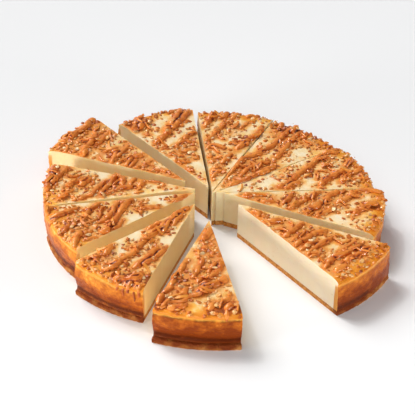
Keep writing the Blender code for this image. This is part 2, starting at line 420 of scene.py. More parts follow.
def biscuit_material():
    """Pressed crumbs: golden brown, grainy, darker along the outer lip, partly burnt and partly painted shade
    on the ledge under the wall.
    """
    made, nodes, shader = new_material("biscuit")
    place = nodes.place()
    cells = nodes.add("ShaderNodeTexVoronoi", {"Vector": place, "Scale": 620.0}).outputs["Distance"]
    grain = nodes.noise(place, 380, 5, 0.7)
    body = nodes.ramp(grain, (0.3, CRUMB_DARK), (0.48, CRUMB), (0.7, CRUMB_PALE))
    nodes.fill(shader, {
        "Base Color": nodes.mix(nodes.times(nodes.attribute("scorch_and_shade"), 0.85), body, (0.20, 0.035, 0.005)),
        "Roughness": 0.65,
        "Specular IOR Level": 0.2,
        "Specular Tint": WARM_SHEEN,
    })
    nodes.bump(shader, nodes.plus(grain, cells), 0.8, 0.0009)
    return made


def caramel_material():
    """Thick glossy sauce and what it coats: pale where it swells, dark red in the hollows, as painted shade
    and as sauce lying thicker there.
    """
    made, nodes, shader = new_material("caramel")
    place = nodes.place()
    swirls = nodes.noise(place, 140, 4, 0.6, 0.4)
    patches = nodes.times(nodes.noise(place, 42, 3, 0.6), 1.5)
    lift = nodes.plus(swirls, nodes.minus(patches, 0.37))
    # Painted shade: darker in the crevices, lighter on the swells
    colour = nodes.ramp(
        nodes.minus(lift, nodes.attribute("hollow_shade_and_run_down")),
        (0.02, (0.11, 0.013, 0.002)),
        (0.24, (0.36, 0.055, 0.005)),
        (0.48, (0.58, 0.122, 0.009)),
        (0.92, (0.80, 0.255, 0.036)),
    )
    nodes.fill(shader, {
        "Base Color": colour,
        "Roughness": 0.42,
        "Specular IOR Level": 0.4,
        "Specular Tint": WARM_SHEEN,
        "Coat Weight": 0.55,
        "Coat Roughness": 0.1,
    })
    nodes.bump(shader, nodes.noise(place, 420, 3), 0.3, 0.0007)
    return made


def chip_material():
    """Crushed toffee and nuts: each piece has its own tone, from dark toffee to pale nut."""
    made, nodes, shader = new_material("chips")
    grain = nodes.noise(nodes.place(), 420, 4, 0.65)
    colour = nodes.ramp(
        nodes.attribute("tone"),
        (0.0, (0.26, 0.040, 0.005)),
        (0.22, (0.55, 0.120, 0.010)),
        (0.45, (0.76, 0.225, 0.022)),
        (0.7, (0.86, 0.40, 0.090)),
        (1.0, (0.90, 0.66, 0.33)),
    )
    skin = nodes.mix(nodes.between(grain, 0.44, 0.6), colour, (0.38, 0.09, 0.012))
    nodes.fill(shader, {
        "Base Color": nodes.mix(0.6, colour, skin),
        "Roughness": 0.5,
        "Specular IOR Level": 0.35,
        "Specular Tint": WARM_SHEEN,
        "Coat Weight": 0.45,
        "Coat Roughness": 0.14,
    })
    nodes.bump(shader, grain, 0.6, 0.0009)
    return made


def shred_material():
    """Thin curled shreds, bright orange under a film of sauce."""
    made, nodes, shader = new_material("shreds")
    grain = nodes.noise(nodes.place(), 300, 4, 0.6)
    colour = nodes.ramp(
        nodes.attribute("tone"),
        (0.0, (0.50, 0.10, 0.008)),
        (0.5, (0.78, 0.21, 0.012)),
        (1.0, (0.86, 0.36, 0.04)),
    )
    nodes.fill(shader, {
        "Base Color": nodes.mix(grain, colour, (0.66, 0.23, 0.04)),
        "Roughness": 0.45,
        "Specular Tint": WARM_SHEEN,
        "Coat Weight": 0.08,
        "Coat Roughness": 0.15,
    })
    nodes.bump(shader, grain, 0.4, 0.0006)
    return made


# Shapes of the portions


def top_height(angle, radius, rim):
    """Height of the filling's bare top at a place in the frame of the knife."""
    inward = rim - radius
    x, y = spot_at(angle, radius)
    slow = rough(x, y, 0, 45)
    quick = rough(x, y, 3, 160)
    share = max(0.0, 1 - inward / SHOULDER_WIDTH)
    drop = SHOULDER_DROP * (1 - math.sqrt(max(0.0, 1 - share**3.2)))
    return CAKE_HEIGHT - drop + (0.55 * slow + 0.22 * quick) * MM


def wall_radius(angle, share, rim, tuck=1.0):
    """The wall's distance from the knife's centre at a share of its height."""
    inset = profile_at(WALL_PROFILE, share)
    if share < 0.6:
        inset *= tuck
    slow = rough(angle * 9, share * 2.5, 7)
    quick = rough(angle * 34, share * 9, 1)
    return rim - (inset - 0.7 * slow - 0.28 * quick) * MM


def spun_block(number, columns, rows, column_power):
    """A grid standing in the first cut, spun to the second cut.

    Its vertices hold (share of the radius, angle, share of the height) and no real place yet.
    """
    first, last = portion_span(number)
    bm = bmesh.new()
    bmesh.ops.create_grid(bm, x_segments=columns, y_segments=rows, size=0.5)
    for vertex in bm.verts:
        across = vertex.co.x + 0.5
        vertex.co = Vector((0.004 + 0.996 * across**column_power, 0, vertex.co.y + 0.5))
    bmesh.ops.rotate(bm, verts=bm.verts, cent=(0, 0, 0), matrix=Matrix.Rotation(first, 3, "Z"))
    bmesh.ops.spin(
        bm,
        geom=bm.verts[:] + bm.edges[:] + bm.faces[:],
        cent=(0, 0, 0),
        axis=(0, 0, 1),
        angle=last - first,
        steps=SPIN_STEPS,
        use_merge=False,
        use_duplicate=False,
    )
    bmesh.ops.recalc_face_normals(bm, faces=bm.faces)
    return bm


def polar(vertex, first):
    """A spun vertex's share of the radius, angle and share of the height."""
    x, y, height = vertex.co
    return math.hypot(x, y), direction(x, y, first - HAIR), height


def standing_piece(bm, number, name, sharp, *materials):
    """Moves a block from the frame of the knife to its portion's place on the table."""
    bmesh.ops.transform(bm, matrix=placing(number), verts=bm.verts)
    mesh = mesh_from(bm, f"{name}_{number:02d}")
    mesh.set_sharp_from_angle(angle=math.radians(sharp))
    piece = new_object(mesh.name, mesh, *materials)
    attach(piece, BODY)
    return piece


def filling_piece(number, skin, cut):
    first, last = portion_span(number)
    floor = BASE_HEIGHT + LAYER_GAP
    bm = spun_block(number, RADIAL_STEPS, HEIGHT_STEPS, 0.8)
    bake_layer = bm.verts.layers.float.new("bake")
    scorch_and_shade_layer = bm.verts.layers.float.new("scorch_and_shade")
    shade_warmth_layer = bm.verts.layers.float.new("shade_warmth")
    shade_warmths = CUT_SHADE_WARMTHS.get(number, (CUT_SHADE_WARMTH, CUT_SHADE_WARMTH))
    on_first, on_last = set(), set()
    for vertex in bm.verts:
        share, angle, height = polar(vertex, first)
        rim = rim_distance(angle)
        radius = share * wall_radius(angle, height, rim, WALL_TUCKS.get(number, 1.0))
        top = top_height(angle, radius, rim)
        z = floor + height * (top - floor)
        vertex.co = (*spot_at(angle, radius), z)
        inward = rim - radius
        uneven = rough(angle * 22, radius * 60, 11)
        painted_shade = WALL_PAINTED_SHADES.get(number, 0)
        on_top = smooth_step(19 * MM, 4 * MM, inward + 8 * MM * uneven) * RIM_BROWNING
        down = UPPER_BROWNING * smooth_step(32 * MM, 27 * MM, z)
        down += LOWER_BROWNING * smooth_step(27 * MM, 12 * MM, z)
        depth = smooth_step(2.6 * MM, 0.6 * MM, inward - 3.4 * MM)
        # Painted shade on the wall below the shoulder, as the portion's wall is turned from or to the light
        on_wall = depth * (WALL_BROWNING + down + painted_shade * smooth_step(33 * MM, 28 * MM, z))
        vertex[bake_layer] = max(on_top, on_wall) if height > 0.999 else on_wall
        # The groove over the base and the crease under the rim: partly burnt, partly painted shade
        burn_and_shade = between_cuts(number, GROOVE_BURNS_AND_SHADES.get(number, (0, 0)), angle)
        ragged = smooth_step(-0.5, 0.1, rough(angle * 7, 2, 9) + burn_and_shade)
        groove = ragged * band(z, *GROOVE)
        broken = smooth_step(-0.35, 0.15, rough(angle * 26, 4, number))
        crease = broken * CREASE_BURNS_AND_SHADES.get(number, CREASE_BURN_AND_SHADE) * band(z, *CREASE_BAND)
        vertex[scorch_and_shade_layer] = depth * min(1.0, max(groove, 0.8 * crease))
        # Painted shade: how golden this cut face is, as it is turned from the light
        vertex[shade_warmth_layer] = shade_warmths[angle > portion_angle(number)]
        if angle - first < HAIR:
            on_first.add(vertex)
        elif last - angle < HAIR:
            on_last.add(vertex)
    for face in bm.faces:
        corners = set(face.verts)
        face.material_index = int(corners <= on_first or corners <= on_last)
        face.smooth = True
    piece = standing_piece(bm, number, "portion", 50, skin, cut)
    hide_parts(f"filling_{number:02d}")
    return piece


def biscuit_piece(number, biscuit):
    first, last = portion_span(number)
    bm = spun_block(number, BASE_RADIAL_STEPS, BASE_HEIGHT_STEPS, 1.0)
    scorch_and_shade_layer = bm.verts.layers.float.new("scorch_and_shade")
    for vertex in bm.verts:
        share, angle, height = polar(vertex, first)
        rim = rim_distance(angle) - BASE_INSETS.get(number, BASE_INSET) * MM
        round_off = (1.3 * height**4 + 0.5 * (1 - height) ** 4) * MM
        crumble = rough(angle * 60, share * 90, height * 3) * 0.8 * MM
        edge = smooth_step(0.9, 1.0, share)
        radius = share * (rim - edge * (round_off - crumble))
        z = height * BASE_HEIGHT
        sideways = 0.0
        if 0.1 < height < 0.9:
            sideways = rough(radius * 420, height * 5, number) * 0.35 * MM
        turning = Vector((-math.sin(angle), math.cos(angle), 0))
        outside = 0.0
        if angle - first < HAIR:
            outside = -1.0
        elif last - angle < HAIR:
            outside = 1.0
        vertex.co = (*spot_at(angle, radius), z)
        vertex.co += turning * outside * (sideways - 0.15 * MM)
        burn_and_shade = between_cuts(number, BASE_BURNS_AND_SHADES.get(number, (BASE_BURN_AND_SHADE, BASE_BURN_AND_SHADE)), angle)
        # Darker towards the top of the lip: burning, and painted shade on the ledge under the wall
        patchy = burn_and_shade + 0.5 * height + 0.9 * rough(angle * 15, height, 2)
        vertex[scorch_and_shade_layer] = smooth_step(0.93, 0.985, share) * patchy
    for face in bm.faces:
        face.smooth = True
    piece = standing_piece(bm, number, "biscuit", 55, biscuit)
    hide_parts(f"base_{number:02d}")
    return piece


# Toppings


class TopMap:
    """Heights of one portion's top on a fine grid, so that chips and sauce can pile up.

    It is kept in the frame of the knife, in a box round the portion.
    """

    CELL = 0.7 * MM
    MARGIN = 4 * MM

    def __init__(self, number):
        self.number = number
        self.first, self.last = portion_span(number)
        corners = [(0.0, 0.0)]
        for step in range(9):
            angle = self.first + (self.last - self.first) * step / 8
            corners.append(spot_at(angle, rim_distance(angle)))
        self.low_x = min(x for x, _ in corners) - self.MARGIN
        self.low_y = min(y for _, y in corners) - self.MARGIN
        high_x = max(x for x, _ in corners) + self.MARGIN
        high_y = max(y for _, y in corners) + self.MARGIN
        self.columns = math.ceil((high_x - self.low_x) / self.CELL)
        self.rows = math.ceil((high_y - self.low_y) / self.CELL)
        xs = self.low_x + (np.arange(self.columns) + 0.5) * self.CELL
        ys = self.low_y + (np.arange(self.rows) + 0.5) * self.CELL
        self.x, self.y = np.meshgrid(xs, ys)
        self.height = np.full(self.x.shape, CAKE_HEIGHT)
        for cell in np.ndindex(self.x.shape):
            x, y = self.x[cell], self.y[cell]
            angle = direction(x, y, self.first - math.pi / 4)
            if self.first - 0.1 < angle < self.last + 0.1:
                rim = rim_distance(angle)
                self.height[cell] = top_height(angle, min(math.hypot(x, y), rim), rim)
        self.sauce = np.zeros_like(self.height)
        for x, y, reach in GLAZES.get(number, ()):
            away = self.away(x * MM, y * MM)
            self.sauce = np.maximum(self.sauce, 2 * np.exp(-((away / (reach * MM)) ** 4)))
        self.thick = cover(self)

    def chance_spot(self, rng):
        angle = rng.uniform(self.first, self.last)
        return spot_at(angle, math.sqrt(rng.uniform(0.0004, 1)) * rim_distance(angle))

    def room(self, x, y):
        """Distance inside the nearer cut, and inside the rim."""
        radius = math.hypot(x, y)
        angle = direction(x, y, self.first - math.pi)
        middle = (self.first + self.last) / 2
        half = (self.last - self.first) / 2
        to_cut = radius * math.sin(half - abs(angle - middle))
        return to_cut, rim_distance(angle) - radius

    def away(self, x, y, window=()):
        """Distance from (x, y) to every cell, or to the cells of a window."""
        return np.hypot(self.x[window] - x, self.y[window] - y)

    def at(self, grid, x, y):
        """The grid's value at a place, or its values at many places."""
        column = np.clip((x - self.low_x) / self.CELL, 0, self.columns - 1).astype(int)
        row = np.clip((y - self.low_y) / self.CELL, 0, self.rows - 1).astype(int)
        return grid[row, column]

    def window(self, x, y, reach):
        """The cells within reach of (x, y)."""
        column = (x - self.low_x) / self.CELL
        row = (y - self.low_y) / self.CELL
        cells = reach / self.CELL
        left, right = max(0, int(column - cells)), min(self.columns, int(column + cells) + 1)
        low, high = max(0, int(row - cells)), min(self.rows, int(row + cells) + 1)
        return slice(low, high), slice(left, right)

    def rest_height(self, x, y, reach):
        """Where a piece of this reach comes to rest: between the mean and the highest spot."""
        patch = self.height[self.window(x, y, reach)]
        if patch.size == 0:
            return CAKE_HEIGHT
        return float(patch.mean() * 0.6 + patch.max() * 0.4)

    def raise_dome(self, x, y, reach, top):
        window = self.window(x, y, reach)
        away = self.away(x, y, window) / reach
        dome = np.sqrt(np.clip(1 - away**2, 0, 1))
        patch = self.height[window]
        lift = np.where(away < 1, patch + (top - patch) * dome, patch)
        self.height[window] = np.maximum(patch, lift)

    def wet(self, x, y, thick):
        """Spreads a film of sauce round a stroke."""
        window = self.window(x, y, 12 * MM)
        film = np.exp(-((self.away(x, y, window) / (thick + FILM_REACH)) ** 2))
        self.sauce[window] = np.maximum(self.sauce[window], film)


def chip_shapes(count, subdivisions, roughness, seed):
    """Angular broken bits about 1 across: rounded lumps with flats cut on them."""
    rng = random.Random(seed)
    shapes = []
    for _ in range(count):
        bm = bmesh.new()
        bmesh.ops.create_icosphere(bm, subdivisions=subdivisions, radius=0.5)
        offset = Vector((rng.uniform(-9, 9), rng.uniform(-9, 9), rng.uniform(-9, 9)))
        for vertex in bm.verts:
            vertex.co *= 1 + roughness * noise.noise(vertex.co * 2.2 + offset)
        for _ in range(5):
            normal = Vector((rng.gauss(0, 1), rng.gauss(0, 1), rng.gauss(0, 1))).normalized()
            limit = rng.uniform(0.26, 0.4)
            for vertex in bm.verts:
                beyond = vertex.co.dot(normal) - limit
                if beyond > 0:
                    vertex.co -= normal * beyond * 0.9
        stretch = Matrix.Diagonal((1.0, rng.uniform(0.6, 0.9), rng.uniform(0.45, 0.75), 1))
        bmesh.ops.transform(bm, matrix=stretch, verts=bm.verts)
        mesh = mesh_from(bm, "chip_shape")
        shapes.append((vertex_rows(mesh), [tuple(face.vertices) for face in mesh.polygons]))
        bpy.data.meshes.remove(mesh)
    return shapes


class Gathered:
    """Many small shapes, joined into one mesh with a tone for each of them."""

    def __init__(self):
        self.points, self.faces, self.tones = [], [], []
        self.count = 0

    def gather(self, points, faces, tone):
        self.points.append(points)
        self.faces.extend(tuple(corner + self.count for corner in face) for face in faces)
        self.tones.append(np.full(len(points), tone))
        self.count += len(points)

    def mesh(self, name):
        mesh = bpy.data.meshes.new(name)
        mesh.from_pydata(np.concatenate(self.points), [], self.faces)
        return mesh

    def piece(self, name, material):
        mesh = self.mesh(name)
        store(mesh, "tone", np.concatenate(self.tones))
        mesh.shade_smooth()
        mesh.set_sharp_from_angle(angle=math.radians(50))
        piece = new_object(name, mesh, material)
        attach(piece, BODY)
        return piece


class Heap(Gathered):
    """Copies of a few small shapes."""

    def __init__(self, shapes):
        super().__init__()
        self.shapes = shapes

    def drop(self, rng, matrix, tone):
        points, faces = rng.choice(self.shapes)
        self.gather(moved(points, matrix), faces, tone)


class Strands(Gathered):
    """Thin curled strips."""

    def lay(self, path, width, thickness, twist, tone):
        """Adds a strip with a four-cornered section, narrower at its ends, along the path."""
        rings = len(path)
        along = np.gradient(path, axis=0)
        along /= np.linalg.norm(along, axis=1)[:, None]
        side = np.cross(along, (0.0, 0.0, 1.0))
        side /= np.linalg.norm(side, axis=1)[:, None]
        over = np.cross(side, along)
        turn = twist * np.linspace(0, 1, rings)[:, None]
        flat = side * np.cos(turn) + over * np.sin(turn)
        upright = over * np.cos(turn) - side * np.sin(turn)
        to_end = np.minimum(np.arange(rings), np.arange(rings)[::-1])
        slim = np.minimum(1, 0.45 + 0.5 * to_end)[:, None]
        edges = [
            path + slim * (first * width * flat + second * thickness * upright) / 2
            for first, second in ((-1, -1), (1, -1), (1, 1), (-1, 1))
        ]
        starts = [corner * rings for corner in range(4)]
        faces = [
            (here + ring, there + ring, there + ring + 1, here + ring + 1)
            for ring in range(rings - 1)
            for here, there in zip(starts, starts[1:] + starts[:1])
        ]
        faces.append(tuple(reversed(starts)))
        faces.append(tuple(start + rings - 1 for start in starts))
        self.gather(np.concatenate(edges), faces, tone)


# Chips and crumbs: how many, how large and how far from the cuts
CHIPS_BELOW_SAUCE = 150
GLAZED_LUMPS = 56
LUMPS_BELOW_SAUCE = 0.85
CHIPS_ON_SAUCE = 14
CHIP_SIZES = (2.8 * MM, 6.4 * MM)
CHIP_THICKNESS = (0.42, 0.66)
LUMP_SIZES = (3.0 * MM, 6.4 * MM)
CRUMBS = 30
CRUMB_SIZES = (1.0 * MM, 2.6 * MM)

# How thickly the toppings lie: everywhere, near a stroke, by chance and towards the rim
COVER = 0.46
COVER_BY_STROKES = 0.4
COVER_BY_CHANCE = 0.6
COVER_AT_RIM = 0.9
PATCH_SCALE = 42

# Shreds: those that the sauce coats and those on top of it
GLAZED_SHREDS = 6
LOOSE_SHREDS = 7
SHRED_LENGTHS = (6 * MM, 15 * MM)
SHRED_STEPS = 8
SHRED_OVERHANG = 1.2 * MM

# Where the cream is left bare and where the toppings are heaped, for each portion:
# (x, y) in the frame of the knife and the reach, in mm
BARE_PATCHES = {
    1: ((1, 116, 6), (23, 122, 7), (2, 86, 5), (34, 104, 7), (23, 70, 5), (16, 76, 5), (-8, 33, 5),
        (-15, 121, 4)),
    2: ((-37, 71, 8), (-22, 103, 6), (-12, 35, 7), (-51, 87, 6), (-19, 12, 8), (-43, 121, 6)),
    3: ((-77, 40, 9), (-34, 40, 5)),
    4: ((-80, 28, 9), (-43, -2, 7), (-115, 26, 6), (-22, 22, 4)),
    5: ((-103, -30, 5), (-58, -39, 10), (-82, -29, 4), (-42, -35, 5), (-33, -14, 5), (-14, 7, 4)),
    6: ((-56, -49, 9), (-65, -74, 7), (-55, -85, 7), (-28, -58, 8), (-42, -63, 4), (-19, -32, 4)),
    7: ((-3, -111, 6), (-14, -40, 4), (10, -79, 4), (-19, -128, 7), (-6, -70, 3)),
    9: ((85, -58, 8), (68, -88, 6)),
    10: ((68, 6, 9), (118, -1, 8), (85, -25, 5), (99, -33, 8), (59, -6, 5), (131, -21, 5)),
    11: ((85, 25, 9), (48, 17, 8), (112, 73, 6), (91, 44, 5), (75, 56, 5), (131, 45, 4)),
    12: ((35, 79, 8), (49, 66, 7), (80, 75, 10), (88, 111, 4)),
}
HEAPS = {
    1: ((-1, 135, 8), (13, 99, 7), (32, 131, 8), (-2, 73, 5)),
    2: ((-71, 103, 10), (-23, 65, 8), (-20, 46, 8), (-32, 109, 7)),
    3: ((-101, 59, 12), (-86, 60, 12), (-66, 40, 10), (-48, 36, 9), (-104, 84, 12), (-90, 98, 12)),
    4: ((-119, -5, 8), (-98, 18, 8), (-79, 6, 9), (-45, 16, 6)),
    5: ((-107, -47, 11), (-94, -55, 9), (-84, -59, 6), (-72, -25, 6)),
    6: ((-96, -90, 10), (-75, -96, 10), (-38, -56, 6), (-84, -87, 7), (-62, -64, 5)),
    7: ((-2, -19, 10), (0, -31, 9), (-5, -46, 12), (4, -60, 8), (-21, -90, 9), (-28, -110, 6),
        (-4, -124, 6), (10, -126, 7), (-50, -118, 5), (-25, -70, 5)),
    9: ((15, -14, 6), (35, -25, 7), (43, -42, 6), (60, -53, 8), (84, -82, 10), (97, -75, 9),
        (64, -72, 5), (76, -67, 5)),
    10: ((22, -1, 8), (39, -4, 8), (131, -8, 9), (68, -12, 5), (108, 5, 7), (100, -15, 5)),
    11: ((101, 62, 8), (116, 32, 8), (61, 45, 7), (103, 93, 6)),
    12: ((65, 113, 11), (33, 49, 11), (18, 26, 10), (32, 10, 9), (44, 41, 9), (88, 98, 9)),
}

# Where the sauce has pooled to a glossy red-brown glaze
GLAZES = {
    2: ((-71, 104, 10), (-62, 109, 7)),
    3: ((-104, 84, 13), (-96, 92, 10), (-88, 102, 8), (-86, 60, 8)),
    4: ((-128, 20, 8), (-79, 8, 7)),
    5: ((-107, -47, 8),),
    6: ((-60, -112, 12), (-72, -108, 9), (-50, -114, 9)),
    7: ((-38, -117, 8), (12, -126, 8), (-46, -122, 8), (-34, -127, 7), (-3, -132, 6), (8, -132, 7),
        (16, -130, 8)),
    9: ((43, -42, 6), (60, -53, 6), (108, -62, 7)),
    10: ((134, -10, 7),),
    12: ((65, 116, 8),),
}


def cover(top_map):
    """How thickly the toppings lie, on the map's grid: 0 on bare cream, 1 in a heap."""
    patches = np.zeros(top_map.x.shape)
    for cell in np.ndindex(patches.shape):
        patches[cell] = rough(top_map.x[cell], top_map.y[cell], 5, PATCH_SCALE)
    near = np.zeros_like(patches)
    for width, *points in STROKES[top_map.number]:
        for x, y in even_path(points, 3 * MM):
            away = top_map.away(x, y) / (0.5 * width * MM + 3.5 * MM)
            near = np.maximum(near, np.exp(-(away**2)))
    middle = top_map.first + (top_map.last - top_map.first) / 2
    outer = np.clip(1 - (rim_distance(middle) - top_map.away(0, 0)) / (16 * MM), 0, 1)
    thick = COVER + COVER_BY_STROKES * near + COVER_BY_CHANCE * patches + COVER_AT_RIM * outer
    for x, y, reach in HEAPS[top_map.number]:
        thick += 0.6 * np.clip(1.4 - top_map.away(x * MM, y * MM) / (reach * MM), 0, 1)
    for x, y, reach in BARE_PATCHES[top_map.number]:
        thick *= np.clip(top_map.away(x * MM, y * MM) / (0.45 * reach * MM) - 1.1, 0, 1)
    return np.clip(thick, 0, 1)


def shred_paths(top_map, rng, count, clearance):
    """Paths of curled shreds, where cover() wants them, draped over what lies there."""
    paths = []
    for _ in range(count * 12):
        if len(paths) == count:
            break
        spot = Vector(top_map.chance_spot(rng))
        if rng.random() > top_map.at(top_map.thick, *spot):
            continue
        step = rng.uniform(*SHRED_LENGTHS) / SHRED_STEPS
        heading = rng.uniform(0, math.tau)
        curl = rng.gauss(0, 0.11)
        places = []
        for _ in range(SHRED_STEPS + 1):
            places.append(spot.copy())
            spot += Vector((math.cos(heading), math.sin(heading))) * step
            heading += curl + rng.gauss(0, 0.1)
        if any(min(top_map.room(*place)) < clearance for place in places):
            continue
        heights = [top_map.rest_height(x, y, 1.0 * MM) for x, y in places]
        heights = eased(heights, 2)
        lift = rng.uniform(0, 1.0 * MM)
        paths.append([
            (x, y, height + lift * (index / SHRED_STEPS) ** 3)
            for index, ((x, y), height) in enumerate(zip(places, heights))
        ])
    return paths


def eased(values, times):
    """The values, each drawn towards its neighbours."""
    last = len(values) - 1
    for _ in range(times):
        values = [(values[max(0, i - 1)] + values[i] + values[min(last, i + 1)]) / 3 for i in range(last + 1)]
    return values


def lay_shreds(top_map, strands, rng, count):
    home = placing(top_map.number)
    for path in shred_paths(top_map, rng, count, -SHRED_OVERHANG):
        width, thickness = rng.uniform(1.4, 2.6) * MM, rng.uniform(0.8, 1.3) * MM
        for x, y, height in path:
            top_map.raise_dome(x, y, 1.2 * MM, height + 0.8 * thickness)
        lifted = moved(np.array(path) + (0, 0, 0.4 * thickness), home)
        strands.lay(lifted, width, thickness, rng.uniform(-1.2, 1.2), rng.random())


def scatter(top_map, heap, rng, count, sizes, tones, lift, spread, home):
    """Drops chips on a portion, where cover() wants them, each at rest on what lies there.

    Their lift and how far they are spread apart are shares of their size.
    """
    wanted = sorted((rng.uniform(*sizes) for _ in range(count)), reverse=True)
    taken = []
    for size in wanted:
        for _ in range(40):
            x, y = top_map.chance_spot(rng)
            to_cut, to_rim = top_map.room(x, y)
            if to_cut < 0.46 * size or to_rim < 0.16 * size:
                continue
            if rng.random() > top_map.at(top_map.thick, x, y):
                continue
            if any(math.hypot(x - a, y - b) < (size + s) * spread for a, b, s in taken):
                continue
            taken.append((x, y, size))
            rest = top_map.rest_height(x, y, 0.35 * size)
            thickness = size * rng.uniform(*CHIP_THICKNESS)
            turn = Matrix.Rotation(rng.uniform(0, math.tau), 4, "Z")
            lean = Matrix.Rotation(rng.uniform(-0.4, 0.4), 4, "X")
            lean @= Matrix.Rotation(rng.uniform(-0.4, 0.4), 4, "Y")
            scale = Matrix.Diagonal((size, size, thickness, 1))
            spot = Vector((x, y, rest + size * lift))
            heap.drop(rng, home @ Matrix.Translation(spot) @ turn @ lean @ scale, tones(rng))
            top_map.raise_dome(x, y, 0.45 * size, rest + size * (lift + 0.2))
            break


def chip_tone(rng):
    tone = rng.gauss(0.38, 0.18) if rng.random() < 0.55 else rng.gauss(0.78, 0.14)
    return min(1.0, max(0.0, tone))


def crumb_tone(rng):
    return min(1.0, max(0.0, rng.gauss(0.62, 0.2)))


# Sauce
STROKE_STEP = 1.3 * MM
STROKE_WIDENING = 1.32
STROKE_SINK = 0.3
FILM_REACH = 4.6 * MM
FILM_UNDER_CHIPS = 0.8
FILM_FOOT = 27 * MM
FILM_RISE = 4 * MM
FILM_BETWEEN = {3: 0.16, 7: 0.14, 9: 0.08, 10: 0.12, 12: 0.1}
SAUCE_GRAIN = 0.62 * MM
# Painted shade in the sauce's crevices: how often it is blurred, its middle level and its strength
HOLLOW_BLURS = 3
HOLLOW_LEVEL = 0.46
HOLLOW_CONTRAST = 8

